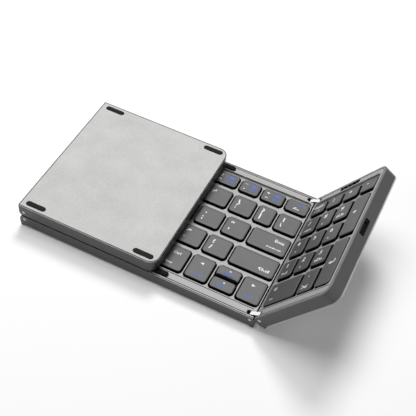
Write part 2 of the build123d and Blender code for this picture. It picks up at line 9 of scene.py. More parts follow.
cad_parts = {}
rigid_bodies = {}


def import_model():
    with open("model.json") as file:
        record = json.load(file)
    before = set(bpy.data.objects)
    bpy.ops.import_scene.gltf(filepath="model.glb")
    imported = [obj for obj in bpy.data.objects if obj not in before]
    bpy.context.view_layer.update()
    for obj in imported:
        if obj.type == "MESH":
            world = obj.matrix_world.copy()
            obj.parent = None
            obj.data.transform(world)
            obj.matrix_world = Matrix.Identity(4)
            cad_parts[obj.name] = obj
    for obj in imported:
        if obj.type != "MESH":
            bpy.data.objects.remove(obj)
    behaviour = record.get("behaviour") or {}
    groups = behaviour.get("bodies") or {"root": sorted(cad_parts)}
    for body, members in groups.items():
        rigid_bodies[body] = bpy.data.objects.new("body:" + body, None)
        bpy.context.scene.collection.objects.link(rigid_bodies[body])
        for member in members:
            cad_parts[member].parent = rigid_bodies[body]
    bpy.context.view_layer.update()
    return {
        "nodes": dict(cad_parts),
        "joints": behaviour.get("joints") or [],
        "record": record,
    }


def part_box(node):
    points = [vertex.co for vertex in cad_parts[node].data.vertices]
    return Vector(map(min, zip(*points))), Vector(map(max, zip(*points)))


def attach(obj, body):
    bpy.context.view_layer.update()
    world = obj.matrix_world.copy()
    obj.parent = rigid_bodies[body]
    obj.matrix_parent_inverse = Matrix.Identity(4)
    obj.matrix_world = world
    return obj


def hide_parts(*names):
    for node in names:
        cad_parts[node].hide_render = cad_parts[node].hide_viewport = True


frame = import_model()

MM = 0.001
SIDEWAYS = Vector((0, 1, 0))
LEVEL = 0.9      # a face whose outward direction rises by more than this counts as level


# ---------------------------------------------------------------- the panels' own frames
HINGE_SIDES = {"left": (1,), "middle": (-1, 1), "right": (-1,)}      # of each panel's own X axis
MERGE_DISTANCE = 0.001 * MM      # corners of a CAD node that lie nearer than this are one
COLUMN_DIGITS = 4      # solids whose low X agrees to so many digits, in metres, are in one column


def box_round(points):
    """The low and the high corner of the box round some points."""
    low = Vector([min(point[i] for point in points) for i in range(3)])
    high = Vector([max(point[i] for point in points) for i in range(3)])
    return low, high


def connected(start):
    """A mesh's corners that edges join to a first one, with that one."""
    found = {start}
    waiting = [start]
    while waiting:
        vertex = waiting.pop()
        for edge in vertex.link_edges:
            other = edge.other_vert(vertex)
            if other not in found:
                found.add(other)
                waiting.append(other)
    return found


def panel_matrix(key_joint, casing):
    """The matrix from a panel's own frame to the part's, and the panel's width and height.

    A panel's own frame has X along the panel, Z out of its key side and its origin in the middle of
    its underside.
    """
    press = next(joint["axis"] for joint in frame["joints"] if joint["name"] == key_joint)
    up = -Vector(press).normalized()
    along = SIDEWAYS.cross(up)
    turn = Matrix((along, SIDEWAYS, up)).transposed().to_4x4()
    back = turn.inverted()
    low, high = box_round([back @ vertex.co for vertex in frame["nodes"][casing].data.vertices])
    origin = Vector(((low.x + high.x) / 2, 0, low.z))
    return Matrix.Translation(turn @ origin) @ turn, high.x - low.x, high.z - low.z


class Panel:
    """A panel of the keyboard: its body, its own frame, its size and the sides that it is hinged at."""

    def __init__(self, name):
        self.name = name
        self.body = f"{name}_panel"
        self.hinge_sides = HINGE_SIDES[name]
        self.matrix, self.width, self.height = panel_matrix(f"{name}_row1_press", f"{name}_casing")

    def islands(self, node):
        """(low, high) corners, in the panel's own frame, of each solid in a CAD node.

        The solids come column by column along X, and each column from the back to the front.
        """
        mesh = bmesh.new()
        mesh.from_mesh(frame["nodes"][node].data)
        bmesh.ops.remove_doubles(mesh, verts=mesh.verts, dist=MERGE_DISTANCE)
        back = self.matrix.inverted()
        seen = set()
        boxes = []
        for start in mesh.verts:
            if start not in seen:
                island = connected(start)
                seen.update(island)
                boxes.append(box_round([back @ vertex.co for vertex in island]))
        mesh.free()
        return sorted(boxes, key=lambda box: (round(box[0].x, COLUMN_DIGITS), -box[0].y))

    def underside(self):
        """Height of the lower face of the panel's cover plate."""
        return min(low.z for low, high in self.islands(f"{self.name}_cover_plate"))


PANELS = {name: Panel(name) for name in HINGE_SIDES}
DEPTH = (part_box("middle_casing")[1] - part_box("middle_casing")[0]).y


# ---------------------------------------------------------------- materials
NOISE_RANGE = (0.3, 0.7)      # most values of a noise lie between these
PATCH_DETAIL = 3.0
GRAIN_DETAIL = 2.0
PATCH_SHARE = 0.5      # of the patches in a colour's changes, where the grains have the rest
SHINE_SPREAD = 0.05      # how far the grains move the roughness, either way
RELIEF_STRENGTH = 0.6


def new_material(name):
    """A new material, its nodes, its links and its shader."""
    made = bpy.data.materials.new(name)
    made.use_nodes = True
    nodes, links = made.node_tree.nodes, made.node_tree.links
    return made, nodes, links, nodes["Principled BSDF"]


def stretched(nodes, links, place, scale):
    """A place in the object's own space, scaled along each direction."""
    squeeze = nodes.new("ShaderNodeMapping")
    squeeze.inputs["Scale"].default_value = scale
    links.new(place, squeeze.inputs["Vector"])
    return squeeze.outputs["Vector"]


def noise(nodes, links, place, size, detail):
    """A noise texture at a place, with grains of the given size in millimetres."""
    texture = nodes.new("ShaderNodeTexNoise")
    texture.inputs["Scale"].default_value = 1 / (size * MM)
    texture.inputs["Detail"].default_value = detail
    links.new(place, texture.inputs["Vector"])
    return texture.outputs["Fac"]


def spread(nodes, links, value, low, high):
    """The value of a noise, from low to high."""
    ramp = nodes.new("ShaderNodeMapRange")
    ramp.inputs["From Min"].default_value = NOISE_RANGE[0]
    ramp.inputs["From Max"].default_value = NOISE_RANGE[1]
    ramp.inputs["To Min"].default_value = low
    ramp.inputs["To Max"].default_value = high
    links.new(value, ramp.inputs["Value"])
    return ramp.outputs["Result"]


def mottled(nodes, links, colour, mottle, patches, grains):
    """A colour that grows darker and lighter by a share of itself, in patches and in grains."""
    total = nodes.new("ShaderNodeMath")
    total.operation = "MULTIPLY_ADD"
    total.inputs[1].default_value = PATCH_SHARE
    links.new(spread(nodes, links, patches, 0, 1), total.inputs[0])
    links.new(spread(nodes, links, grains, 0, 1 - PATCH_SHARE), total.inputs[2])
    tint = nodes.new("ShaderNodeMix")
    tint.data_type = "RGBA"
    tint.inputs["A"].default_value = [tone * (1 - mottle) for tone in colour] + [1]
    tint.inputs["B"].default_value = [min(1.0, tone * (1 + mottle)) for tone in colour] + [1]
    links.new(total.outputs["Value"], tint.inputs["Factor"])
    return tint.outputs["Result"]


def grained(nodes, links, grains, relief):
    """The surface's direction, moved by grains of the given height in millimetres."""
    bump = nodes.new("ShaderNodeBump")
    bump.inputs["Strength"].default_value = RELIEF_STRENGTH
    bump.inputs["Distance"].default_value = relief * MM
    links.new(grains, bump.inputs["Height"])
    return bump.outputs["Normal"]


def surface(name, colour, shine, metal=0.0, mottle=0.04, patch=14.0, grain=0.25, relief=0.01, stretch=None,
            specular=0.4, ior=1.45):
    """A surface with a grain in its height and shine and soft patches in its colour.

    patch and grain are sizes in millimetres, relief is the grain's height in millimetres, and stretch
    draws the grain out along one direction, as brushing does.
    """
    made, nodes, links, shader = new_material(name)
    place = nodes.new("ShaderNodeTexCoord").outputs["Object"]
    grain_place = stretched(nodes, links, place, stretch) if stretch else place
    patches = noise(nodes, links, place, patch, PATCH_DETAIL)
    grains = noise(nodes, links, grain_place, grain, GRAIN_DETAIL)
    roughness = spread(nodes, links, grains, shine - SHINE_SPREAD, shine + SHINE_SPREAD)
    links.new(mottled(nodes, links, colour, mottle, patches, grains), shader.inputs["Base Color"])
    links.new(roughness, shader.inputs["Roughness"])
    links.new(grained(nodes, links, grains, relief), shader.inputs["Normal"])
    shader.inputs["Metallic"].default_value = metal
    shader.inputs["Specular IOR Level"].default_value = specular
    shader.inputs["IOR"].default_value = ior
    return made


CASING = surface("casing", (0.086, 0.087, 0.089), 0.38, metal=0.85, mottle=0.06, grain=0.18, relief=0.006)
PLATE = surface("plate", (0.535, 0.535, 0.528), 0.66, metal=0.05, mottle=0.12, patch=16.0, grain=1.1,
                relief=0.014, specular=0.2)
DECK = surface("deck", (0.355, 0.355, 0.352), 0.52, metal=0.1, patch=10.0, grain=0.14, relief=0.008,
               specular=0.3)
# Lighter than the casing: a painted highlight along the casing's upper rim.
PAINTED_RIM_HIGHLIGHT = surface("painted_rim_highlight", (0.34, 0.34, 0.337), 0.55, metal=0.1, grain=0.2, relief=0.003, specular=0.3)
KEY_TOP = surface("key_top", (0.075, 0.075, 0.076), 0.45, mottle=0.05, patch=6.0, grain=0.11, relief=0.014)
# Near black: the caps' sides, partly their own dark plastic and partly painted shade, and the painted shade
# round the keys' holes and on the up-arrow key's near edge.
KEY_SIDE_AND_SHADE = surface("key_side_and_shade", (0.004, 0.004, 0.004), 0.60, grain=0.15, ior=1.1)
# Near black: for dark seams, and for painted shade in the gaps at the hinges, on the links where they sit in
# their slots and at the step into each key well.
SEAM_AND_PAINTED_SHADE = surface("seam_and_painted_shade", (0.012, 0.012, 0.012), 0.6, grain=0.15, ior=1.1)
WHITE_INK = surface("white_ink", (0.86, 0.87, 0.88), 0.5, grain=0.1, relief=0.003)
BLUE_INK = surface("blue_ink", (0.075, 0.17, 0.62), 0.5, grain=0.1, relief=0.003, specular=0.2)
STEEL = surface("brushed_steel", (0.90, 0.90, 0.89), 0.32, metal=0.4, grain=0.12, stretch=(1, 0.1, 1))
PIN = surface("pin", (0.55, 0.55, 0.54), 0.35, metal=0.5, grain=0.12, relief=0.004)
RUBBER = surface("foot_rubber", (0.009, 0.009, 0.009), 0.6, grain=0.15, relief=0.02, ior=1.2)
PAD = surface("pad_rubber", (0.005, 0.005, 0.005), 0.6, grain=0.15, relief=0.02, ior=1.15)
WINDOW = surface("window", (0.002, 0.002, 0.003), 0.45, grain=1.5, relief=0.001, specular=0.0, ior=1.02)
AMBER = surface("amber_lamp", (0.85, 0.50, 0.22), 0.3, grain=0.4)
SOCKET = surface("socket_steel", (0.012, 0.012, 0.012), 0.45, grain=0.2, ior=1.2)
BOARD = surface("circuit_board", (0.02, 0.09, 0.05), 0.4, grain=0.5)
FOIL = surface("battery_foil", (0.45, 0.46, 0.48), 0.35, metal=0.6, patch=4.0, grain=0.4)
SHEET = surface("rubber_sheet", (0.006, 0.006, 0.006), 0.6, grain=0.2, ior=1.15)


# ---------------------------------------------------------------- the CAD nodes
# What a CAD node is made of, by the end of its name.
NODE_MATERIALS = {
    "_casing": CASING,
    "_cover_plate": PLATE,
    "_key_deck": DECK,
    "_hinge_pins": PIN,
    "_feet": RUBBER,
    "_switch_board": BOARD,
    "_rubber_sheet": SHEET,
    "_link_front": STEEL,
    "_link_back": STEEL,
    "bumper_pads": PAD,
    "battery": FOIL,
    "indicator_window": WINDOW,
    "charging_socket": SOCKET,
    "controller_board": BOARD,
}
# How wide the edges of some nodes are bevelled, in millimetres, and whose bevels are dark: seams on the cover
# plates and pins, and painted shade on the links, which sit in slots.
BEVELS = {
    "_casing": 0.14,
    "_cover_plate": 0.30,
    "_key_deck": 0.16,
    "_link_front": 0.45,
    "_link_back": 0.45,
    "_hinge_pins": 0.3,
}
DARK_BEVELS = ("_cover_plate", "_link_front", "_link_back", "_hinge_pins")
BEVEL_STEPS = 2
BEVEL_ANGLE = math.radians(40)      # an edge has to turn by more than this to be bevelled


def by_ending(table, name):
    """The value in a table of endings that fits a name, or None."""
    return next((value for ending, value in table.items() if name.endswith(ending)), None)


def bevel_edges(node, width, dark):
    """Bevels a node's sharp edges, and lets the bevels be dark where asked."""
    bevel = node.modifiers.new("edges", "BEVEL")
    bevel.width = width
    bevel.segments = BEVEL_STEPS
    bevel.limit_method = "ANGLE"
    bevel.angle_limit = BEVEL_ANGLE
    if dark:
        node.data.materials.append(SEAM_AND_PAINTED_SHADE)
        bevel.material = len(node.data.materials) - 1


def dress_cad_nodes():
    """Gives each CAD node that NODE_MATERIALS names its material, and bevels the ones that BEVELS names."""
    for name, node in frame["nodes"].items():
        finish = by_ending(NODE_MATERIALS, name)
        if finish:
            node.data.materials.clear()
            node.data.materials.append(finish)
        width = by_ending(BEVELS, name)
        if width:
            bevel_edges(node, width * MM, name.endswith(DARK_BEVELS))


def paint_faces(name, panel, material, chosen):
    """Gives a CAD node's own faces a second material where chosen says so.

    chosen gets a face's middle and its outward direction, both in the panel's own frame.
    """
    data = frame["nodes"][name].data
    data.materials.append(material)
    slot = len(data.materials) - 1
    back = panel.matrix.inverted()
    turn = back.to_3x3()
    for face in data.polygons:
        if chosen(back @ face.center, (turn @ face.normal).normalized()):
            face.material_index = slot


RIM_DEPTH = 0.1 * MM      # how far below a casing's top a face still belongs to its rim
# How far from a hinge end its rounded edge is painted dark, as painted shade in the gap between the panels,
# above which share of the panel's height, and how much a face there has to look out of that end.
HINGE_SHADE = {"left": 0.85 * MM, "middle": 1.3 * MM, "right": 0.85 * MM}
HINGE_SHADE_START = 0.75
HINGE_SHADE_FACING = 0.2


def paint_rims():
    """The casing's narrow upper rim is painted lighter, as a painted highlight, and the rounded hinge ends are
    painted dark, as painted shade in the gaps at the hinges.
    """
    for panel in PANELS.values():

        def on_rim(place, facing):
            return facing.z > LEVEL and place.z > panel.height - RIM_DEPTH

        def on_hinge_end(place, facing):
            hinged = any(place.x * side > 0 for side in panel.hinge_sides)
            near_end = abs(place.x) > panel.width / 2 - HINGE_SHADE[panel.name]
            high_up = place.z > HINGE_SHADE_START * panel.height
            return hinged and near_end and high_up and abs(facing.x) > HINGE_SHADE_FACING

        paint_faces(f"{panel.name}_casing", panel, PAINTED_RIM_HIGHLIGHT, on_rim)
        for part in ("casing", "key_deck"):
            paint_faces(f"{panel.name}_{part}", panel, SEAM_AND_PAINTED_SHADE, on_hinge_end)


# A link's face is painted dark, as painted shade of its slot, where it looks along the link or sideways by
# more than these.
LINK_END_FACING = 0.05
LINK_SIDE_FACING = 0.5


def paint_links():
    """Only the straight edges of a link keep its bright steel: its rounded ends and sides sit in a slot and
    are painted dark, as painted shade.
    """
    joints = frame["record"]["behaviour"]["joints"]
    start = {joint["child"]: Vector(joint["pos_m"]) for joint in joints if joint["type"] == "hinge"}
    panel = PANELS["middle"]
    turn = panel.matrix.inverted().to_3x3()
    for side in ("left", "right"):
        along = (turn @ (start[f"{side}_panel"] - start[f"{side}_links"])).normalized()

        def in_slot(place, facing):
            return abs(facing.dot(along)) > LINK_END_FACING or abs(facing.y) > LINK_SIDE_FACING

        for end in ("front", "back"):
            paint_faces(f"{side}_link_{end}", panel, SEAM_AND_PAINTED_SHADE, in_slot)


# The shallow frame round the charging socket: how far behind the end wall, how far to either side of the
# middle and how high above the panel's underside its faces lie.
SOCKET_FRAME_DEPTHS = (0.05 * MM, 0.4 * MM)
SOCKET_FRAME_REACH = 6.2 * MM
SOCKET_FRAME_HEIGHTS = (3.0 * MM, 7.3 * MM)


def paint_socket_frame():
    """The shallow frame round the charging socket is black."""
    panel = PANELS["right"]

    def in_frame(place, facing):
        behind = SOCKET_FRAME_DEPTHS[0] < panel.width / 2 - place.x < SOCKET_FRAME_DEPTHS[1]
        beside = abs(place.y) < SOCKET_FRAME_REACH
        return behind and beside and SOCKET_FRAME_HEIGHTS[0] < place.z < SOCKET_FRAME_HEIGHTS[1]

    paint_faces("right_casing", panel, PAD, in_frame)


# ---------------------------------------------------------------- mesh helpers
LEAST_RADIUS = 0.05 * MM      # that a corner keeps, however far its outline is drawn in
CORNER_STEPS = 6
EDGE_STEPS = 4
DISH_SHARES = (0.35, 0.6, 0.8)      # where a dish has its rings, from its edge inwards
DISH_REACH = 0.8      # how far towards the middle of the top a ring with share 1 would lie


def rounded_loop(low, high, radius, inset):
    """Points round a rectangle with rounded corners, drawn in by inset."""
    radius = max(radius - inset, LEAST_RADIUS)
    points = []
    corners = ((high.x, high.y, 0), (low.x, high.y, 90), (low.x, low.y, 180), (high.x, low.y, 270))
    for x, y, start in corners:
        x_side = 1 if x == high.x else -1
        y_side = 1 if y == high.y else -1
        centre = Vector((x - x_side * (inset + radius), y - y_side * (inset + radius)))
        for i in range(CORNER_STEPS + 1):
            angle = math.radians(start + 90 * i / CORNER_STEPS)
            points.append(centre + radius * Vector((math.cos(angle), math.sin(angle))))
    return points


def band(mesh, ring, further):
    """The faces between two rings of as many corners."""
    count = len(ring)
    faces = []
    for i in range(count):
        j = (i + 1) % count
        faces.append(mesh.faces.new((ring[i], ring[j], further[j], further[i])))
    return faces


def loft(mesh, loops, slots):
    """Joins loops of equal length, closes both ends and gives each band its material slot."""
    rings = [[mesh.verts.new(point) for point in loop] for loop in loops]
    mesh.faces.new(reversed(rings[0])).material_index = slots[0]
    for lower, upper, slot in zip(rings, rings[1:], slots):
        for face in band(mesh, lower, upper):
            face.material_index = slot
            face.smooth = True
    mesh.faces.new(rings[-1]).material_index = slots[-1]


def rounded_block(mesh, low, high, radius, edge, slots=(0, 0), dish=0.0, draft=0.0):
    """A block with rounded corners and a rounded upper edge, and a top that can be dished.

    slots are the material slots of the sides and of the top with its edge, and draft is how far the
    sides lean in.
    """
    loops = [(0, low.z)]
    for i in range(EDGE_STEPS + 1):
        angle = math.radians(90 * i / EDGE_STEPS)
        loops.append((draft + edge * (1 - math.cos(angle)), high.z - edge * (1 - math.sin(angle))))
    if dish:
        half = min(high.x - low.x, high.y - low.y) / 2
        for share in DISH_SHARES:
            inset = edge + draft + share * (half - edge - draft) * DISH_REACH
            loops.append((inset, high.z - dish * math.sin(math.radians(90 * share))))
    points = [[(*p, z) for p in rounded_loop(low, high, radius, inset)] for inset, z in loops]
    loft(mesh, points, [slots[0]] + [slots[1]] * (len(loops) - 1))


def finish_mesh(mesh, name, panel, materials, body, replaced=()):
    """Makes an object of a mesh drawn in a panel's own frame, and lets it ride on a body."""
    mesh.normal_update()
    data = bpy.data.meshes.new(name)
    mesh.to_mesh(data)
    mesh.free()
    data.transform(panel.matrix)
    for material in materials:
        data.materials.append(material)
    piece = bpy.data.objects.new(name, data)
    bpy.context.scene.collection.objects.link(piece)
    if replaced:
        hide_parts(*replaced)
    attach(piece, body)
    return piece


# ---------------------------------------------------------------- legends
# A layout has (x, y, size, ink) for each text on a key: x and y from the key's middle, as shares of its
# half sizes, and the height of a capital in millimetres, before LETTERING.
WHITE, BLUE = 0, 1
LETTER = ((-0.45, 0.38, 2.5, WHITE),)
TWO_SIGNS = ((-0.44, 0.46, 3.2, WHITE), (-0.50, -0.34, 2.9, WHITE))
DIGIT = ((-0.52, 0.40, 1.9, WHITE), (-0.52, -0.44, 1.9, WHITE), (0.34, 0.42, 2.0, BLUE),
         (0.34, -0.42, 1.5, BLUE))
DELETE = ((0.35, 0.42, 1.5, BLUE), (-0.05, -0.40, 2.4, WHITE))
EDGE_WORD = ((-0.30, 0.30, 1.7, WHITE),)
LOW_WORD = ((-0.40, -0.40, 1.7, WHITE),)
FRONT_WORD = ((-0.20, 0.30, 1.7, WHITE),)
RIGHT_WORD = ((0.20, 0.35, 1.7, WHITE),)
CONTROL = ((0.0, 0.42, 1.3, WHITE), (-0.30, -0.50, 1.1, WHITE))
ARROW = ((-0.05, 0.42, 2.8, WHITE), (-0.05, -0.55, 1.6, BLUE))
UP_ARROW = ((0.05, 0.45, 1.9, WHITE), (0.0, -0.25, 1.3, BLUE))
DOWN_ARROW = ((0.05, 0.35, 1.9, WHITE), (0.0, -0.42, 1.3, BLUE))
ENTER = ((0.56, 0.36, 1.6, WHITE), (0.44, -0.52, 2.1, WHITE))
SHIFT = ((0.56, -0.45, 2.2, WHITE),)
NUMBER = ((-0.20, 0.42, 2.6, WHITE), (-0.20, -0.50, 1.8, WHITE))
SLASH = ((-0.20, 0.30, 2.2, WHITE),)
SIGN = ((-0.20, 0.30, 2.4, WHITE),)
PLUS = ((-0.20, 0.15, 2.6, WHITE),)
NUMBER_ENTER = ((0.0, 0.0, 2.6, WHITE),)
ZERO = ((-0.60, 0.45, 2.2, WHITE), (-0.60, -0.50, 1.6, WHITE))
BLANK = ()


def legend(layout, *texts):
    """A key's legend: (text, x, y, size, ink) for each of its texts."""
    return [(text, *place) for text, place in zip(texts, layout)]


def letters(names):
    """Legends of keys with one letter each."""
    return [legend(LETTER, name) for name in names]


def signs(uppers, lowers):
    """Legends of keys with a sign above another one."""
    return [legend(TWO_SIGNS, upper, lower) for upper, lower in zip(uppers, lowers)]


def digits(uppers, lowers, first):
    """Legends of the digit row, whose function keys count on from the first one."""
    keys = enumerate(zip(uppers, lowers))
    return [legend(DIGIT, upper, lower, "■", f"F{first + i}") for i, (upper, lower) in keys]


# The legends of each key node, in the order of Panel.islands.
LEGENDS = {
    "left_row1_keys": [legend(EDGE_WORD, "Esc")] + digits("!@#$", "1234", 1),
    "left_row2_keys": [legend(EDGE_WORD, "Tab")] + letters("QWER"),
    "left_row3_keys": [legend(EDGE_WORD, "Caps")] + letters("ASDF"),
    "left_row4_keys": [legend(LOW_WORD, "Shift")] + letters("ZXC"),
    "left_row5_keys": [legend(FRONT_WORD, text) for text in ("Ctrl", "Fn", "Sym", "Alt")],
    "left_space_key": [BLANK],
    "middle_row1_keys": digits("%^&*()_+", "567890-=", 5) + [legend(DELETE, "Del", "←")],
    "middle_row2_keys": letters("TYUIOP") + signs("{}|", "[]\\"),
    "middle_row3_keys": letters("GHJKL") + signs(":\"", ";'"),
    "middle_row4_keys": letters("VBNM") + signs("<>?", ",./"),
    "middle_row5_keys": [legend(RIGHT_WORD, "Alt"), legend(CONTROL, "Ctrl", "Menu"),
                         legend(ARROW, "◂", "Home"), legend(ARROW, "▸", "End")],
    "enter_key": [legend(ENTER, "Enter", "return")],
    "right_shift_key": [legend(SHIFT, "Shift")],
    "right_space_key": [BLANK],
    "up_arrow_key": [legend(UP_ARROW, "▴", "PgUp")],
    "down_arrow_key": [legend(DOWN_ARROW, "▾", "PgDn")],
    "right_row1_keys": [legend(NUMBER, "Num", "Lock"), legend(SLASH, "/"), legend(SIGN, "*"),
                        legend(SIGN, "-")],
    "right_row2_keys": [legend(NUMBER, "7", "Home"), legend(NUMBER, "8", "▴"), legend(NUMBER, "9", "PgUp")],
    "right_row3_keys": [legend(NUMBER, "4", "◂"), legend(NUMBER, "5"), legend(NUMBER, "6", "▸")],
    "right_row4_keys": [legend(NUMBER, "1", "End"), legend(NUMBER, "2", "▾"), legend(NUMBER, "3", "PgDn")],
    "right_row5_keys": [legend(NUMBER, ".", "Del")],
    "number_plus_key": [legend(PLUS, "+")],
    "number_enter_key": [legend(NUMBER_ENTER, "↵")],
    "number_zero_key": [legend(ZERO, "0", "Ins")],
}
CAPITAL = 0.72      # height of a capital, as a share of the text size
LETTERING = 1.35      # all legends are this much larger than the heights in their layouts
WIDENING = 1.15      # legends are this much wider than the font draws them
STROKE = 0.016      # how much a stroke is fattened on either side, as a share of the text size
CURVE_STEPS = 2
INK_HEIGHT = 0.02 * MM


def ink(text, height):
    """The corners and faces of a text, with its middle at the origin."""
    curve = bpy.data.curves.new("ink", "FONT")
    curve.body = text
    curve.size = LETTERING * height * MM / CAPITAL
    curve.align_x = "CENTER"
    curve.extrude = INK_HEIGHT / 2
    curve.resolution_u = CURVE_STEPS
    curve.offset = STROKE * curve.size
    writer = bpy.data.objects.new("ink", curve)
    bpy.context.scene.collection.objects.link(writer)
    bpy.context.view_layer.update()
    data = bpy.data.meshes.new_from_object(writer.evaluated_get(bpy.context.evaluated_depsgraph_get()))
    points = [Vector((WIDENING * vertex.co.x, vertex.co.y, vertex.co.z)) for vertex in data.vertices]
    faces = [tuple(face.vertices) for face in data.polygons]
    bpy.data.meshes.remove(data)
    bpy.data.objects.remove(writer)
    bpy.data.curves.remove(curve)
    low, high = box_round(points)
    middle = (low + high) / 2
    return [point - middle for point in points], faces


# ---------------------------------------------------------------- keys
KEY_RADIUS = 2.1 * MM
KEY_EDGE = 0.36 * MM
KEY_DISH = 0.10 * MM
KEY_DRAFT = 0.38 * MM
SIDE_AND_SHADE_SLOT, TOP_SLOT, INK_SLOT = 0, 1, 2      # of a cap's materials, with the white ink before the blue
SLOPE_SHARE = 0.45      # the near part of the up-arrow key that slopes down
SLOPE_DROP = 1.1 * MM
SLOPE_POWER = 1.6      # how strongly the slope steepens towards the near side
SLOPE_SHADE = 1.4 * MM      # how far the painted shade on its near edge reaches in
BODY_OF_KEY = {
    nodes[0]: body
    for body, nodes in frame["record"]["behaviour"]["bodies"].items()
    if len(nodes) == 1
}
CARRIER = {joint["child"]: joint["parent"] for joint in frame["joints"]}


def keys_of(panel):
    """The key nodes that a panel carries."""
    return [node for node in LEGENDS if CARRIER[BODY_OF_KEY[node]] == panel.body]


def write_legend(mesh, low, high, texts):
    """Writes a legend's texts on the dished top of a key with these low and high corners."""
    middle = (low + high) / 2
    half = (high - low) / 2
    height = high.z - KEY_DISH + INK_HEIGHT
    for text, x_share, y_share, size, colour in texts:
        points, faces = ink(text, size)
        centre = Vector((middle.x + x_share * half.x, middle.y + y_share * half.y, height))
        made = [mesh.verts.new(point + centre) for point in points]
        for face in faces:
            mesh.faces.new([made[i] for i in face]).material_index = INK_SLOT + colour


def slope_near_side(mesh, low, high):
    """Lets the top of a key slope down towards its near side, and paints shade on its near edge."""
    start = low.y + SLOPE_SHARE * (high.y - low.y)
    for face in mesh.faces:
        if face.calc_center_median().y < low.y + SLOPE_SHADE and len(face.verts) == 4:
            face.material_index = SIDE_AND_SHADE_SLOT
    for vertex in mesh.verts:
        share = (start - vertex.co.y) / (start - low.y)
        if share > 0 and vertex.co.z > high.z - SLOPE_DROP:
            vertex.co.z -= SLOPE_DROP * share ** SLOPE_POWER


def dress_keys():
    """Gives each key node a piece with its caps and their legends."""
    for panel in PANELS.values():
        for node in keys_of(panel):
            mesh = bmesh.new()
            for (low, high), texts in zip(panel.islands(node), LEGENDS[node]):
                rounded_block(mesh, low, high, KEY_RADIUS, KEY_EDGE, (SIDE_AND_SHADE_SLOT, TOP_SLOT),
                              dish=KEY_DISH, draft=KEY_DRAFT)
                if node == "up_arrow_key":
                    slope_near_side(mesh, low, high)
                write_legend(mesh, low, high, texts)
            piece = finish_mesh(mesh, f"{node}_caps", panel, (KEY_SIDE_AND_SHADE, KEY_TOP, WHITE_INK, BLUE_INK),
                                BODY_OF_KEY[node], [node])


# ---------------------------------------------------------------- feet, pads and window
TRIM_SUNK = 0.05 * MM      # how deep thin trim sits in what carries it
FOOT_EDGE = 0.25 * MM      # radius of a foot's lower edge
FOOT_LIP = 0.28 * MM      # how far a foot's thin lip reaches over the edge of its hole
LIP_HEIGHT = 0.04 * MM
LIP_EDGE = 0.02 * MM
PAD_EDGE = 0.3 * MM
WINDOW_EDGE = 0.12 * MM
WINDOW_STANDING = 0.03 * MM      # how far the window stands out of the key side
LAMPS = 4      # small round marks in the window, of which the last one is amber
LAMP_START = 0.18      # of the window's length, before the middle of the first lamp
LAMP_PITCH = 0.21      # of the window's length, between the middles of the lamps
LAMP_RADIUS = 0.24 * MM
LAMP_SUNK = 0.02 * MM
LAMP_STANDING = 0.03 * MM
LAMP_EDGE = 0.02 * MM


def foot_upside_down(mesh, low, high, underside):
    """A foot and its thin lip, whose rounded edges are their lower ones, so both are drawn upside down."""
    radius = (high.y - low.y) / 2
    upper = Vector((low.x, low.y, -high.z))
    lower = Vector((high.x, high.y, -low.z))
    rounded_block(mesh, upper, lower, radius, FOOT_EDGE)
    lip = Vector((FOOT_LIP, FOOT_LIP, 0))
    upper.z = -underside - TRIM_SUNK
    lower.z = -underside + LIP_HEIGHT
    rounded_block(mesh, upper - lip, lower + lip, radius + FOOT_LIP, LIP_EDGE)


def dress_feet():
    """Gives each panel its rounded feet."""
    for panel in PANELS.values():
        mesh = bmesh.new()
        underside = panel.underside()
        for low, high in panel.islands(f"{panel.name}_feet"):
            foot_upside_down(mesh, low, high, underside)
        for vertex in mesh.verts:
            vertex.co.z = -vertex.co.z
        bmesh.ops.recalc_face_normals(mesh, faces=mesh.faces)
        feet = finish_mesh(mesh, f"{panel.name}_foot_pills", panel, (RUBBER,), panel.body,
                           [f"{panel.name}_feet"])


def dress_bumpers():
    """Gives the middle panel its rounded pads."""
    middle = PANELS["middle"]
    mesh = bmesh.new()
    for low, high in middle.islands("bumper_pads"):
        rounded_block(mesh, low, high, (high.y - low.y) / 2, PAD_EDGE)
    pads = finish_mesh(mesh, "bumper_pills", middle, (PAD,), middle.body, ["bumper_pads"])


def lamp_row(mesh, low, high):
    """The small round lamps along the middle of a window with these low and high corners."""
    y = (low.y + high.y) / 2
    for i in range(LAMPS):
        x = low.x + (high.x - low.x) * (LAMP_START + LAMP_PITCH * i)
        slot = 1 if i < LAMPS - 1 else 2
        rounded_block(mesh, Vector((x - LAMP_RADIUS, y - LAMP_RADIUS, high.z - LAMP_SUNK)),
                      Vector((x + LAMP_RADIUS, y + LAMP_RADIUS, high.z + LAMP_STANDING)),
                      LAMP_RADIUS, LAMP_EDGE, (slot, slot))


def dress_window():
    """Gives the number panel its indicator window with the lamps."""
    right = PANELS["right"]
    mesh = bmesh.new()
    for low, high in right.islands("indicator_window"):
        high.z = right.height + WINDOW_STANDING
        rounded_block(mesh, low, high, (high.y - low.y) / 2, WINDOW_EDGE)
        lamp_row(mesh, low, high)
    window = finish_mesh(mesh, "indicator_lens", right, (WINDOW, WHITE_INK, AMBER), right.body,
                         ["indicator_window"])


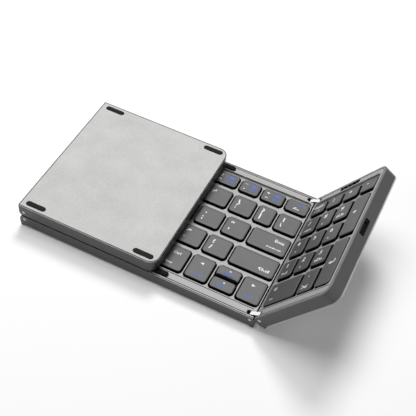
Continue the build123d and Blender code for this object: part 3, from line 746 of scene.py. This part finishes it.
# ---------------------------------------------------------------- trim lines
TRIM_STANDING = 0.015 * MM      # how far a trim line stands out of what carries it
LINE_WIDTH = 0.46 * MM
LINE_PLACES = (0.58 * MM, 1.76 * MM)      # of the two lines round a key side, from the panel's edge
PLATE_LINE = 0.28 * MM      # from a panel's edge to the fine dark line round its cover plate
WELL_LINE = 6.1 * MM      # from a panel's front edge to the fine line before its keys, a painted shadow of the step into the key well
WELL_LINE_SHORT = 3 * MM      # how far that line stops before the panel's ends
HINGE_SHOULDER = 1.35 * MM      # how far the lines round a key side stop before a hinge end
FREE_CORNER = 6.0 * MM      # radius of a panel's free corners
LINE_CORNER_STEPS = 10
HOLE_ROOM = 0.30 * MM      # between a key and the edge of its hole
GAP_WIDTH = 0.24 * MM      # of the ring of painted shade round each key's hole
WEB_DEPTH = 0.5 * MM      # the deck between the keys lies at least this far below a panel's top
WEB_DIGITS = 2      # faces whose heights agree to so many digits, in millimetres, are level with each other


def edge_path(panel, inset, shoulder):
    """Paths along a panel's front and back at an inset from its edge, joined round a free end.

    shoulder is how far the paths stop before a hinge end.
    """
    reach = panel.width / 2 - shoulder
    side = DEPTH / 2 - inset
    if len(panel.hinge_sides) == 2:
        return [[(-reach, y), (reach, y)] for y in (-side, side)]
    hinged = panel.hinge_sides[0]
    radius = FREE_CORNER - inset
    end = panel.width / 2 - inset - radius
    points = [(hinged * reach, -side)]
    for y_side, start in ((-1, 270), (1, 0)):
        for i in range(LINE_CORNER_STEPS + 1):
            angle = math.radians(start + 90 * i / LINE_CORNER_STEPS)
            x = -hinged * (end + radius * math.cos(angle))
            points.append((x, y_side * (side - radius) + radius * math.sin(angle)))
    points.append((hinged * reach, side))
    return [points]


def strip(mesh, path, low, high):
    """A closed strip of a line's width along a path, from height low to high."""
    rows = []
    for i, point in enumerate(path):
        before = Vector(path[max(i - 1, 0)])
        after = Vector(path[min(i + 1, len(path) - 1)])
        along = (after - before).normalized()
        across = Vector((-along.y, along.x)) * LINE_WIDTH / 2
        left, right = Vector(point) + across, Vector(point) - across
        corners = ((left, low), (right, low), (right, high), (left, high))
        rows.append([mesh.verts.new((*p, z)) for p, z in corners])
    for row, further in zip(rows, rows[1:]):
        band(mesh, row, further)
    mesh.faces.new(reversed(rows[0]))
    mesh.faces.new(rows[-1])


def dress_deck_lines(panel):
    """Fine dark lines on a key side: two round it, for the deck's seam and border, and one before the keys, a
    painted shadow of the step into the key well.
    """
    paths = [path for inset in LINE_PLACES for path in edge_path(panel, inset, HINGE_SHOULDER)]
    reach = panel.width / 2 - WELL_LINE_SHORT
    front = WELL_LINE - DEPTH / 2
    paths.append([(-reach, front), (reach, front)])
    mesh = bmesh.new()
    for path in paths:
        strip(mesh, path, panel.height - TRIM_SUNK, panel.height + TRIM_STANDING)
    bmesh.ops.recalc_face_normals(mesh, faces=mesh.faces)
    lines = finish_mesh(mesh, f"{panel.name}_deck_lines", panel, (SEAM_AND_PAINTED_SHADE,), panel.body)


def dress_plate_lines(panel):
    """A fine dark line round the cover plate, where it meets the casing."""
    end = panel.width / 2 - PLATE_LINE
    side = DEPTH / 2 - PLATE_LINE
    paths = edge_path(panel, PLATE_LINE, PLATE_LINE)
    for x_side in panel.hinge_sides:
        paths.append([(x_side * end, -side), (x_side * end, side)])
    bottom = panel.underside()
    mesh = bmesh.new()
    for path in paths:
        strip(mesh, path, bottom - TRIM_STANDING, bottom + TRIM_SUNK)
    bmesh.ops.recalc_face_normals(mesh, faces=mesh.faces)
    lines = finish_mesh(mesh, f"{panel.name}_plate_lines", panel, (SEAM_AND_PAINTED_SHADE,), panel.body)


def web_height(panel):
    """Height of the deck between the keys: where most of its upward area lies, under the top."""
    back = panel.matrix.inverted()
    turn = back.to_3x3()
    areas = {}
    for face in frame["nodes"][f"{panel.name}_key_deck"].data.polygons:
        place = back @ face.center
        if (turn @ face.normal).z > LEVEL and place.z < panel.height - WEB_DEPTH:
            height = round(place.z / MM, WEB_DIGITS)
            areas[height] = areas.get(height, 0) + face.area
    return max(areas, key=areas.get) * MM


def hole_shade_ring(mesh, low, high, bottom, top):
    """Painted shade in the gap round a key: a flat closed dark ring round it, on the deck."""
    inner = HOLE_ROOM
    outer = HOLE_ROOM + GAP_WIDTH
    rings = [[mesh.verts.new((*p, z)) for p in rounded_loop(low, high, KEY_RADIUS, -room)]
             for room, z in ((inner, bottom), (inner, top), (outer, top), (outer, bottom))]
    for ring, further in zip(rings, rings[1:] + rings[:1]):
        band(mesh, ring, further)


def dress_key_gap_shade(panel):
    """Rings of painted shade in the gaps round the keys that a panel carries, on its deck."""
    mesh = bmesh.new()
    web = web_height(panel)
    for node in keys_of(panel):
        for low, high in panel.islands(node):
            hole_shade_ring(mesh, low, high, web - TRIM_SUNK, web + TRIM_STANDING)
    bmesh.ops.recalc_face_normals(mesh, faces=mesh.faces)
    gaps = finish_mesh(mesh, f"{panel.name}_key_gaps", panel, (KEY_SIDE_AND_SHADE,), panel.body)


def dress_trim():
    """Gives each panel its fine dark lines."""
    for panel in PANELS.values():
        dress_deck_lines(panel)
        dress_plate_lines(panel)
        dress_key_gap_shade(panel)


# ---------------------------------------------------------------- studio
# The camera, in the middle panel's frame: where the photograph was taken from.
AZIMUTH = 20.00
ELEVATION = 49.75
ROLL = 7.23
DISTANCE = 517.8 * MM
TARGET = Vector((16.15 * MM, 16.31 * MM, -0.4 * MM))
LENS = 73.08
CLIP_START = 0.01
CLIP_END = 10

FLOOR_REACH = 6.0
FLOOR_TONE = 0.86
FLOOR_ROUGHNESS = 0.9
FLOOR_GLOW = 0.14      # what the floor adds to its own light where it is seen directly
SURROUNDINGS_LIGHT = 0.07      # of the white surroundings as a light, which are 1 where they are seen

# Each light is (name, place, size, power), and all of them point at the part's origin.
LIGHTS = (
    ("key_light", (-0.32, 0.08, 1.32), 0.8, 9.6),
    ("back_light", (-0.22, 0.66, 1.14), 0.45, 9.2),
    ("front_light", (-0.5, -1.1, 0.6), 0.9, 1.9),
)


def aim_camera():
    """Places the camera where the photograph was taken from."""
    azimuth, elevation, roll = map(math.radians, (AZIMUTH, ELEVATION, ROLL))
    back = Vector((math.sin(azimuth) * math.cos(elevation), -math.cos(azimuth) * math.cos(elevation),
                   math.sin(elevation)))
    right = (-back).cross(Vector((0, 0, 1))).normalized()
    up = right.cross(-back)
    across = right * math.cos(roll) + up * math.sin(roll)
    upward = up * math.cos(roll) - right * math.sin(roll)
    place = PANELS["middle"].matrix @ TARGET + back * DISTANCE
    data = bpy.data.cameras.new("camera")
    data.lens = LENS
    data.clip_start = CLIP_START
    data.clip_end = CLIP_END
    camera = bpy.data.objects.new("camera", data)
    camera.matrix_world = Matrix.Translation(place) @ Matrix((across, upward, back)).transposed().to_4x4()
    bpy.context.scene.collection.objects.link(camera)
    bpy.context.scene.camera = camera


def area_light(name, place, size, power):
    """A round light at a place, pointed at the part's origin."""
    data = bpy.data.lights.new(name, "AREA")
    data.shape = "DISK"
    data.size = size
    data.energy = power
    turn = Vector(place).to_track_quat("Z", "Y").to_matrix().to_4x4()
    light = bpy.data.objects.new(name, data)
    light.matrix_world = Matrix.Translation(place) @ turn
    bpy.context.scene.collection.objects.link(light)


def seen_directly(nodes, links):
    """1 for what the camera sees by itself, in a mirror or through glass, and 0 for light."""
    path = nodes.new("ShaderNodeLightPath")
    seen = path.outputs["Is Camera Ray"]
    for ray in ("Is Glossy Ray", "Is Transmission Ray"):
        either = nodes.new("ShaderNodeMath")
        either.operation = "MAXIMUM"
        links.new(seen, either.inputs[0])
        links.new(path.outputs[ray], either.inputs[1])
        seen = either.outputs["Value"]
    return seen


def floor_material():
    """A matt pale floor that glows a little where it is seen directly."""
    made, nodes, links, shader = new_material("floor")
    shader.inputs["Base Color"].default_value = (FLOOR_TONE, FLOOR_TONE, FLOOR_TONE, 1)
    shader.inputs["Roughness"].default_value = FLOOR_ROUGHNESS
    shader.inputs["Specular IOR Level"].default_value = 0.0
    strength = nodes.new("ShaderNodeMath")
    strength.operation = "MULTIPLY"
    strength.inputs[1].default_value = FLOOR_GLOW
    links.new(seen_directly(nodes, links), strength.inputs[0])
    glow = nodes.new("ShaderNodeEmission")
    glow.inputs["Color"].default_value = (1, 1, 1, 1)
    links.new(strength.outputs["Value"], glow.inputs["Strength"])
    total = nodes.new("ShaderNodeAddShader")
    links.new(shader.outputs["BSDF"], total.inputs[0])
    links.new(glow.outputs["Emission"], total.inputs[1])
    links.new(total.outputs["Shader"], nodes["Material Output"].inputs["Surface"])
    return made


def lay_floor():
    """A wide square floor that the part stands on."""
    mesh = bmesh.new()
    corners = ((-1, -1), (1, -1), (1, 1), (-1, 1))
    mesh.faces.new([mesh.verts.new((x * FLOOR_REACH, y * FLOOR_REACH, 0)) for x, y in corners])
    data = bpy.data.meshes.new("floor")
    mesh.to_mesh(data)
    mesh.free()
    floor = bpy.data.objects.new("floor", data)
    bpy.context.scene.collection.objects.link(floor)
    data.materials.append(floor_material())


def light_studio():
    """White surroundings that give little light, and the lights of LIGHTS."""
    world = bpy.data.worlds.new("studio")
    bpy.context.scene.world = world
    world.use_nodes = True
    nodes, links = world.node_tree.nodes, world.node_tree.links
    background = nodes["Background"]
    background.inputs["Color"].default_value = (1, 1, 1, 1)
    level = nodes.new("ShaderNodeMapRange")
    level.inputs["To Min"].default_value = SURROUNDINGS_LIGHT
    level.inputs["To Max"].default_value = 1.0
    links.new(seen_directly(nodes, links), level.inputs["Value"])
    links.new(level.outputs["Result"], background.inputs["Strength"])
    for name, place, size, power in LIGHTS:
        area_light(name, place, size, power)
    bpy.context.scene.view_settings.view_transform = "Standard"


dress_cad_nodes()
paint_rims()
paint_links()
paint_socket_frame()
dress_keys()
dress_feet()
dress_bumpers()
dress_window()
dress_trim()
aim_camera()
lay_floor()
light_studio()
